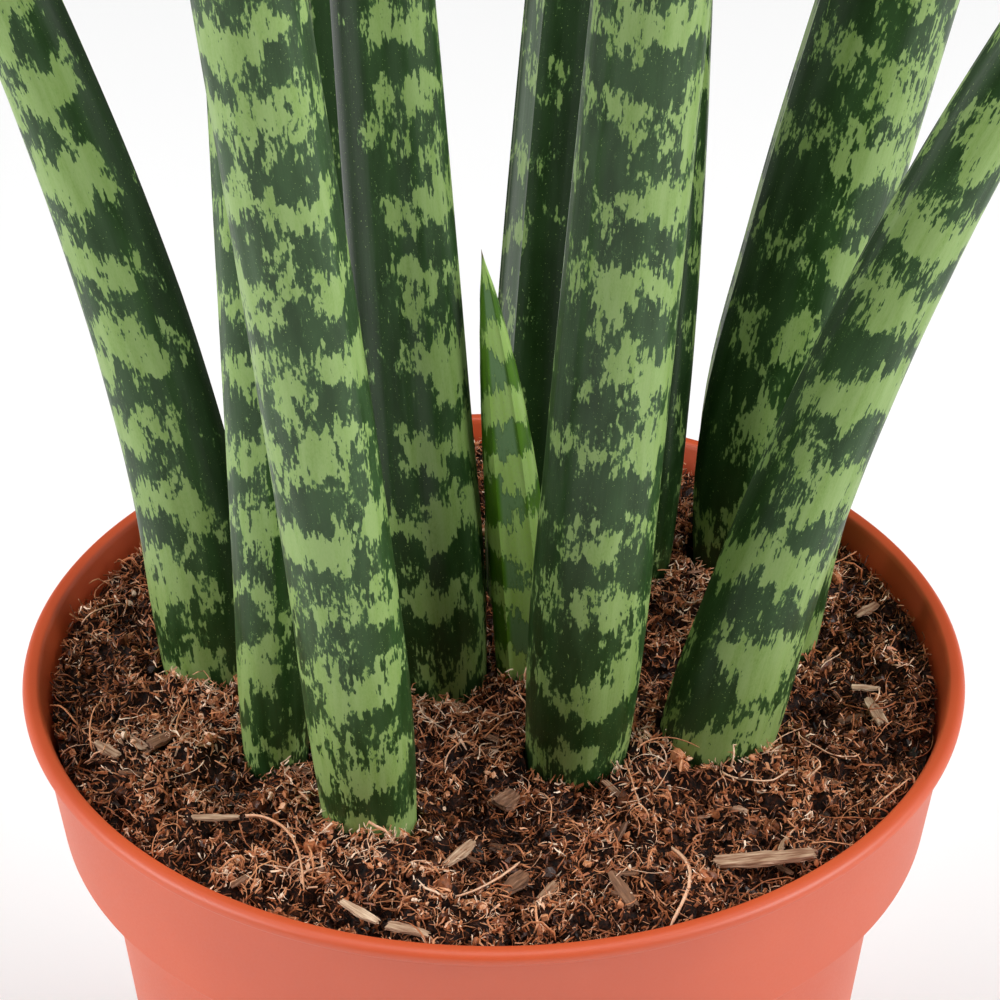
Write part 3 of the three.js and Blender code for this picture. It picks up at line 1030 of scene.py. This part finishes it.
def wall_distance(points):
    """How far inside the pot's collar each point lies, and the way in."""
    heights = [COLLAR_FOOT + COLLAR_STEP, LIP_FOOT, POT_HEIGHT]
    radii = [COLLAR_FOOT_RADIUS - WALL, COLLAR_TOP_RADIUS - WALL, RIM_RADIUS - LIP_WIDTH]
    reach = np.hypot(points[:, 0], points[:, 1])
    return np.interp(points[:, 2], heights, radii) - reach, -points[:, :2] / reach[:, None]


# %% Scattering copies
# Each copy takes its grain from its own stretch of the noise
GRAIN_STEP = 10 * MM
USUAL_TONE = 0.02
# Painted light and shade: how much paler a copy is for each mm that it lies higher
PAINTED_LIGHT_PER_MM = 0.14


def model_arrays(piece):
    """The places and the triangles of a small model, which is then removed."""
    piece.data.calc_loop_triangles()
    triangles = np.empty(len(piece.data.loop_triangles) * 3, dtype=np.int32)
    piece.data.loop_triangles.foreach_get("vertices", triangles)
    arrays = places_of(piece), triangles.reshape(-1, 3)
    bpy.data.objects.remove(piece)
    return arrays


def turns(azimuths, pitches, rolls):
    """One rotation matrix a copy."""
    matrices = []
    for azimuth, pitch, roll in zip(azimuths, pitches, rolls):
        pitched = Matrix.Rotation(azimuth, 3, "Z") @ Matrix.Rotation(pitch, 3, "Y")
        matrices.append(pitched @ Matrix.Rotation(roll, 3, "X"))
    return np.array(matrices)


def push_clear(copies, distance_to, play):
    """Moves each copy sideways as far as its worst point is too close, and says which are clear."""
    distance, way = distance_to(copies.reshape(-1, 3))
    distance = distance.reshape(copies.shape[:2])
    way = way.reshape(*copies.shape[:2], 2)
    worst = distance.argmin(1)
    every = np.arange(len(copies))
    push = np.clip(play - distance[every, worst], 0, LONGEST_PUSH) * PUSH_MORE
    copies[:, :, :2] += (way[every, worst] * push[:, None])[:, None]
    after = distance_to(copies.reshape(-1, 3))[0]
    return after.reshape(copies.shape[:2]).min(1) > play / 2


def scatter(name, models, chosen, places, turned, sizes, tones, paint, soft=False):
    """Joins copies of small models into one piece, without those that touch a leaf or the pot."""
    parts, faces, tone_parts, straight_parts = [], [], [], []
    first = kept_count = 0
    for number, (shape, triangles) in enumerate(models):
        own = np.flatnonzero(chosen == number)
        local = shape[None] * sizes[own][:, None]
        moved = np.einsum("nij,nvj->nvi", turned[own], local) + places[own][:, None]
        kept = push_clear(moved, wall_distance, WALL_PLAY) & push_clear(moved, leaf_distance, LEAF_PLAY)
        if not kept.any():
            continue
        moved, local, count = moved[kept], local[kept], len(shape)
        steps = first + count * np.arange(len(moved))
        parts.append(moved.reshape(-1, 3))
        faces.append((triangles[None] + steps[:, None, None]).reshape(-1, 3))
        tone_parts.append(np.repeat(tones[own][kept], count))
        local[:, :, 2] += GRAIN_STEP * own[kept][:, None]
        straight_parts.append(local.reshape(-1, 3))
        first += count * len(moved)
        kept_count += len(moved)
    mesh = bpy.data.meshes.new(name)
    mesh.from_pydata(np.concatenate(parts), [], np.concatenate(faces))
    piece = bpy.data.objects.new(name, mesh)
    bpy.context.collection.objects.link(piece)
    mesh.attributes.new("tone", "FLOAT", "POINT").data.foreach_set("value", np.concatenate(tone_parts))
    store_vector(piece, "straight", np.concatenate(straight_parts))
    mesh.polygons.foreach_set("use_smooth", np.full(len(mesh.polygons), soft))
    mesh.materials.append(paint)
    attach(piece, "root")
    print(name, kept_count, "of", len(chosen), "copies kept,", len(mesh.polygons), "triangles")


def tones_at(places, low, usual, high):
    """A tone a copy, with painted light on the mounds and painted shade in the hollows."""
    mounds = (places[:, 2] - np.median(places[:, 2])) / MM
    return generator.triangular(low, usual, high, len(places)) + USUAL_TONE + PAINTED_LIGHT_PER_MM * mounds


# %% Strands
def make_strand(number, steps, width, flatness, curliness):
    """A curled strand one unit from end to end: a flat triangle pulled along in turning steps."""
    deselect_all()
    bpy.ops.mesh.primitive_circle_add(
        vertices=3, radius=width / 2, fill_type="NGON", rotation=(0, math.pi / 2, 0))
    strand = bpy.context.object
    bpy.ops.object.transform_apply(rotation=True)
    curl = random.Random(number)
    azimuth, pitch = 0.0, 0.0
    azimuth_curl = curl.uniform(-curliness, curliness)
    pitch_curl = curl.uniform(-0.6 * curliness, 0.6 * curliness)
    bpy.ops.object.mode_set(mode="EDIT")
    bpy.ops.transform.resize(value=(1, 1, flatness))
    path = [Vector()]
    for step in range(steps):
        azimuth += azimuth_curl + curl.uniform(-curliness, curliness)
        pitch += pitch_curl + curl.uniform(-0.7 * curliness, 0.7 * curliness)
        reach = math.cos(pitch)
        step_on = Vector((math.cos(azimuth) * reach, math.sin(azimuth) * reach, math.sin(pitch)))
        path.append(path[-1] + step_on)
        bpy.ops.mesh.extrude_region_move(TRANSFORM_OT_translate={"value": path[-1] - path[-2]})
        swell = 0.45 if step == steps - 1 else curl.uniform(0.85, 1.15)
        bpy.ops.transform.resize(value=(swell, swell, swell), center_override=path[-1])
    close_edit()
    level = path[-1].to_track_quat("X", "Z").inverted().to_matrix().to_4x4()
    strand.data.transform(Matrix.Scale(1 / path[-1].length, 4) @ level @ Matrix.Translation(-path[-1] / 2))
    return model_arrays(strand)


def scatter_strands(name, models, count, lengths, tones, lift, steepness, soft):
    """Strands that lie every way round. Lengths and lift are in millimetres."""
    length = generator.uniform(*lengths, count) * MM
    places = seeds(count)
    tone = tones_at(places, *tones)
    places[:, 2] += generator.uniform(*lift, count) * MM
    turned = turns(generator.uniform(0, math.tau, count), generator.normal(0, steepness, count),
                   generator.uniform(0, math.tau, count))
    sizes = np.stack([length, length, length], 1)
    chosen = generator.integers(len(models), size=count)
    scatter(name, models, chosen, places, turned, sizes, tone, loose_paint, soft)


# %% Shreds, fibres and roots
shreds = [make_strand(number, 2, 0.28 + 0.08 * (number % 5), 0.5, 0.5) for number in range(14)]
fibres = [make_strand(50 + number, 6, 0.32, 0.8, 0.6) for number in range(12)]
long_fibres = [make_strand(100 + number, 14, 0.45, 0.9, 0.2) for number in range(6)]
STRANDS = [
    # name, models, how many, lengths, tones, lift above the bed, steepness, shaded round
    ("soil_shreds_dark", shreds, 12000, (0.6, 1.9), (0.0, 0.2, 0.5), (-0.2, 1.0), 0.7, False),
    ("soil_shreds_red", shreds, 13000, (0.5, 1.8), (0.2, 0.46, 0.78), (0.1, 1.4), 0.8, False),
    # Pale shreds: pale coir, and partly painted glints
    ("soil_shreds_pale", shreds, 7000, (0.4, 1.2), (0.5, 0.8, 1.2), (0.5, 1.7), 0.8, False),
    ("soil_fibres", fibres, 3000, (1.3, 3.8), (0.25, 0.48, 0.9), (0.4, 1.9), 0.5, True),
    ("soil_fibres_long", long_fibres, 190, (4, 9), (0.4, 0.65, 0.9), (0.9, 1.9), 0.2, True),
]
for settings in STRANDS:
    scatter_strands(*settings)

# %% Crumbs and clods
CRUMB_MODELS = 8
CRUMB_COUNT = 3600
CLOD_COUNT = 420
PALE_ABOVE = 0.96
PALER_BY = 0.6


def make_crumb(number, fineness):
    """An uneven crumb one unit across."""
    deselect_all()
    bpy.ops.mesh.primitive_ico_sphere_add(subdivisions=fineness, radius=0.5)
    crumb = bpy.context.object
    bpy.ops.object.mode_set(mode="EDIT")
    bpy.ops.transform.vertex_random(offset=0.3 / fineness, seed=number)
    squeeze = random.Random(number)
    bpy.ops.transform.resize(value=(1, squeeze.uniform(0.5, 1), squeeze.uniform(0.3, 0.8)))
    bpy.ops.object.mode_set(mode="OBJECT")
    return model_arrays(crumb)


def scatter_crumbs(name, first_model, fineness, sizes, places, tones, lift):
    """Crumbs that lie any way round. Sizes and lift are in millimetres."""
    count = len(places)
    models = [make_crumb(first_model + number, fineness) for number in range(CRUMB_MODELS)]
    places[:, 2] += generator.uniform(*lift, count) * MM
    chosen = generator.integers(CRUMB_MODELS, size=count)
    turned = turns(*generator.uniform(0, math.tau, (3, count)))
    scatter(name, models, chosen, places, turned, np.stack([sizes * MM] * 3, 1), tones, loose_paint)


sizes = generator.triangular(0.25, 0.5, 1.5, CRUMB_COUNT)
places = seeds(CRUMB_COUNT)
tones = tones_at(places, 0.05, 0.3, 0.7) + PALER_BY * (generator.random(CRUMB_COUNT) > PALE_ABOVE)
scatter_crumbs("soil_crumbs", 0, 1, sizes, places, tones, (0, 1.1))

sizes = generator.triangular(1.2, 1.6, 3.2, CLOD_COUNT)
places = seeds(CLOD_COUNT)
tones = tones_at(places, 0.0, 0.12, 0.35)
scatter_crumbs("soil_clods", 20, 2, sizes, places, tones, (-0.5, 0.5))

# %% Bark chips
CHIP_MODELS = 6
CHIP_COUNT = 46
CHIP_LIFT = 1.1 * MM
CHIP_STOPS = [
    (0.0, (0.04, 0.016, 0.008)),
    (0.5, (0.25, 0.115, 0.06)),
    (0.8, (0.52, 0.34, 0.22)),
    (1.0, (0.74, 0.55, 0.38)),
]


def make_chip(number):
    """A splinter of bark one unit long, with ragged ends."""
    deselect_all()
    bpy.ops.mesh.primitive_cube_add(size=1)
    chip = bpy.context.object
    bpy.ops.object.mode_set(mode="EDIT")
    bpy.ops.mesh.subdivide(number_cuts=5)
    bpy.ops.transform.vertex_random(offset=0.07, seed=number)
    taper = random.Random(number)
    for end in (-1, 1):
        for start in (0.1, 0.25, 0.42):
            select_vertices(chip.data, lambda co: co.x * end > start)
            bpy.ops.transform.resize(value=(1, taper.uniform(0.72, 1.08), taper.uniform(0.7, 1.05)))
            bpy.ops.transform.translate(value=(0, taper.uniform(-0.06, 0.06), taper.uniform(-0.1, 0.1)))
    bpy.ops.object.mode_set(mode="OBJECT")
    return model_arrays(chip)


def make_chip_paint():
    """Bark with a grain along each chip."""
    material, tree, shader = new_material("bark_chip")
    grain = sized_noise(tree, coordinates(tree, "straight"), (3 * MM, 0.3 * MM, 0.3 * MM), 3)
    change = math_node(tree, "MULTIPLY_ADD", grain, 1.2, -0.6)
    tone = math_node(tree, "ADD", coordinates(tree, "tone", "Fac"), change)
    link(tree, ramp(tree, tone, CHIP_STOPS), shader.inputs["Base Color"])
    shader.inputs["Roughness"].default_value = 0.6
    relief(tree, shader, grain, 0.6, 0.25 * MM)
    return material


chip_models = [make_chip(number) for number in range(CHIP_MODELS)]
chip_paint = make_chip_paint()
lengths = generator.triangular(1.2, 2.2, 4.5, CHIP_COUNT) * MM
places = seeds(CHIP_COUNT)
places[:, 2] += CHIP_LIFT
turned = turns(generator.uniform(0, math.tau, CHIP_COUNT), generator.normal(0, 0.3, CHIP_COUNT),
               generator.normal(0, 0.5, CHIP_COUNT))
widths = lengths * generator.uniform(0.25, 0.5, CHIP_COUNT)
thicknesses = generator.uniform(0.25, 0.5, CHIP_COUNT) * MM
chosen = generator.integers(CHIP_MODELS, size=CHIP_COUNT)
tones = generator.uniform(0.2, 0.75, CHIP_COUNT)
sizes = np.stack([lengths, widths, thicknesses], 1)
scatter("bark_chips", chip_models, chosen, places, turned, sizes, tones, chip_paint)

# %% [markdown]
# ## Pieces that stand out
#
# A few larger chips and pale roots stand out in the picture. They could be placed by hand. Here
# each one is given by two places in the picture: a line from the camera through each place meets
# the bed, and the piece is laid between the two.

# %% Chips and roots that stand out
PICTURE_PIXELS = 1000
PIXELS_PER_TURN = CAMERA_LENS / camera.data.sensor_width * PICTURE_PIXELS
SEEN_CHIP_LIFT = 1.3 * MM
SEEN_ROOT_LIFT = 1.7 * MM
CHIP_FLATNESS = 0.4
SEEN_PITCH = 0.05
SEEN_ROLL = 0.1
SEEN_CHIPS = [
    # two places in the picture in pixels, width in mm, tone
    ((718, 864), (813, 853), 1.9, 0.62),
    ((447, 866), (474, 841), 1.5, 0.7),
    ((536, 908), (556, 882), 1.3, 0.6),
    ((612, 874), (632, 904), 1.5, 0.4),
    ((95, 743), (118, 756), 1.5, 0.65),
    ((150, 746), (172, 734), 1.6, 0.45),
    ((193, 818), (238, 817), 0.9, 0.7),
    ((341, 903), (377, 921), 1.3, 0.85),
    ((388, 925), (428, 934), 1.2, 0.7),
    ((868, 700), (882, 722), 1.5, 0.75),
    ((857, 616), (877, 604), 1.4, 0.6),
    ((852, 688), (880, 688), 0.9, 0.8),
    ((500, 806), (515, 795), 2.6, 0.4),
    ((506, 893), (526, 873), 2.2, 0.35),
    ((697, 935), (720, 930), 1.0, 0.7),
]
SEEN_ROOTS = [
    # two places in the picture in pixels, tone
    ((246, 818), (304, 888), 0.8),
    ((672, 850), (670, 925), 0.85),
    ((456, 898), (520, 860), 0.85),
    ((508, 690), (528, 712), 0.8),
    ((624, 762), (640, 808), 0.8),
    ((640, 745), (702, 742), 0.75),
    ((536, 792), (550, 822), 0.8),
    ((188, 700), (176, 732), 0.75),
    ((238, 806), (262, 822), 0.8),
]


def seen_at(across, down, height=None):
    """The place on the bed, or at a height, that the camera sees at a pixel."""
    right = (across - PICTURE_PIXELS / 2) / PIXELS_PER_TURN
    up = (PICTURE_PIXELS / 2 - down) / PIXELS_PER_TURN
    direction = Vector((right, up, -1))
    direction.rotate(camera.rotation_euler)
    if height is None:
        return bed_tree.ray_cast(CAMERA_PLACE, direction)[0]
    return CAMERA_PLACE + direction * ((height - CAMERA_PLACE.z) / direction.z)


def lay_between(name, models, seen, lift, paint, soft, widths=None):
    """Lays one copy on the bed between each two places that the camera sees at a pair of pixels."""
    ends = []
    for first, last in [row[:2] for row in seen]:
        level = max(seen_at(*first).z, seen_at(*last).z) + lift
        ends.append((seen_at(*first, level), seen_at(*last, level)))
    places = np.array([(first + last) / 2 for first, last in ends])
    azimuths = [math.atan2(last.y - first.y, last.x - first.x) for first, last in ends]
    turned = turns(azimuths, [SEEN_PITCH] * len(ends), [SEEN_ROLL] * len(ends))
    lengths = np.array([(last - first).length for first, last in ends])
    if widths is None:
        sizes = np.stack([lengths] * 3, 1)
    else:
        sizes = np.stack([lengths, widths, widths * CHIP_FLATNESS], 1)
    chosen = np.arange(len(ends)) % len(models)
    tones = np.array([row[-1] for row in seen])
    scatter(name, models, chosen, places, turned, sizes, tones, paint, soft)


widths = np.array([row[2] * MM for row in SEEN_CHIPS])
lay_between("bark_chips_large", chip_models, SEEN_CHIPS, SEEN_CHIP_LIFT, chip_paint, False, widths)
root_models = [make_strand(200 + number, 14, 0.5, 0.9, 0.09) for number in range(5)]
lay_between("pale_roots", root_models, SEEN_ROOTS, SEEN_ROOT_LIFT, loose_paint, True)

# %% Sizes
visual_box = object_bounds()
sizes = {"cad": [list(corner) for corner in cad_box], "visual": [list(corner) for corner in visual_box]}
print("box in CAD", [[round(v, 4) for v in corner] for corner in cad_box])
print("box shown", [[round(v, 4) for v in corner] for corner in visual_box])
